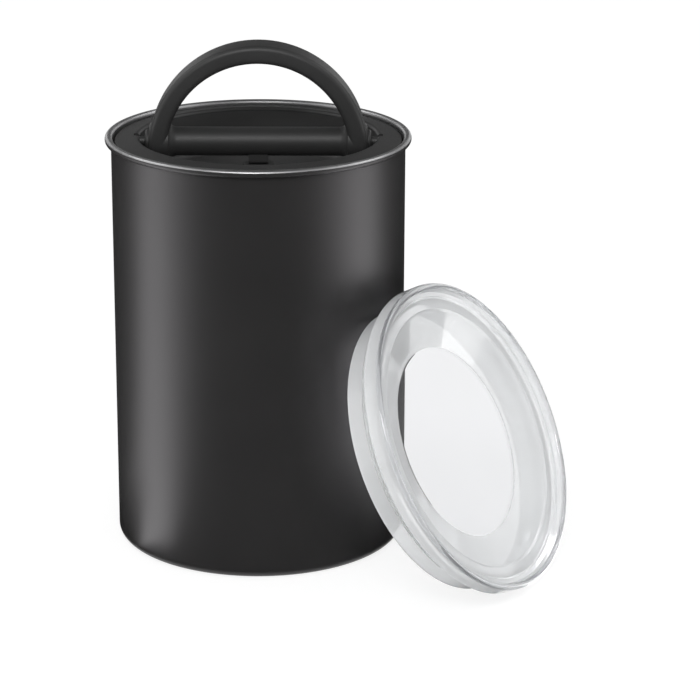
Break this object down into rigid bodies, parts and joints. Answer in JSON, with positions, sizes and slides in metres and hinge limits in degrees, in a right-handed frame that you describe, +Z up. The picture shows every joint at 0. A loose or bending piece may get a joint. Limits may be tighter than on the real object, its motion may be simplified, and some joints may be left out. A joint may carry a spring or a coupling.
{
  "type": "coffee canister",
  "caption": "Tall round coffee canister with a push-down inner lid, a folding D handle that works a vent valve, and a clear outer lid leaning on its wall.",
  "frame": {"origin": "centre of the can's flat base, on the surface that it stands on", "axes": "+Z up along the can's axis, X along the handle's pivot, +Y towards the side that the handle folds to"},
  "size_m": [0.1935, 0.1782, 0.2122],
  "materials": {
    "coated_steel": "satin black coating, the rolled rim bare steel",
    "black_plastic": "fine matte texture",
    "grey_silicone": "matte",
    "spring_steel": "drawn wire",
    "clear_plastic": "clear, polished",
    "clear_silicone": "translucent"
  },
  "bodies": {
    "can": {"can_body": "coated_steel"},
    "plunger": {"lid_plate": "black_plastic", "lid_base": "black_plastic", "wiper_seal": "grey_silicone", "valve_spring": "spring_steel"},
    "handle": {"handle": "black_plastic"},
    "valve": {"valve_button": "black_plastic", "valve_poppet": "black_plastic", "valve_seal": "grey_silicone"},
    "outer_lid": {"outer_lid": "clear_plastic", "lid_gasket": "clear_silicone"}
  },
  "joints": [
    {"name": "plunger_slide", "type": "slide", "parent": "can", "child": "plunger", "axis": [0, 0, 1], "range_m": [-0.14, 0.1]},
    {"name": "handle_fold", "type": "hinge", "parent": "plunger", "child": "handle", "pos_m": [0, 0, 0.1707], "axis": [-1, 0, 0], "range_deg": [0, 90]},
    {"name": "valve_slide", "type": "slide", "parent": "plunger", "child": "valve", "axis": [0, 0, 1], "range_m": [0, 0.003], "deforming": ["valve_spring"]},
    {"name": "outer_lid_slide", "type": "slide", "parent": "can", "child": "outer_lid", "axis": [0.7778, -0.4356, 0.4531], "range_m": [0, 0.15]}
  ],
  "couplings": [
    {"joint": "valve_slide", "follows": "handle_fold", "m_per_rad": 0.0019099}
  ]
}
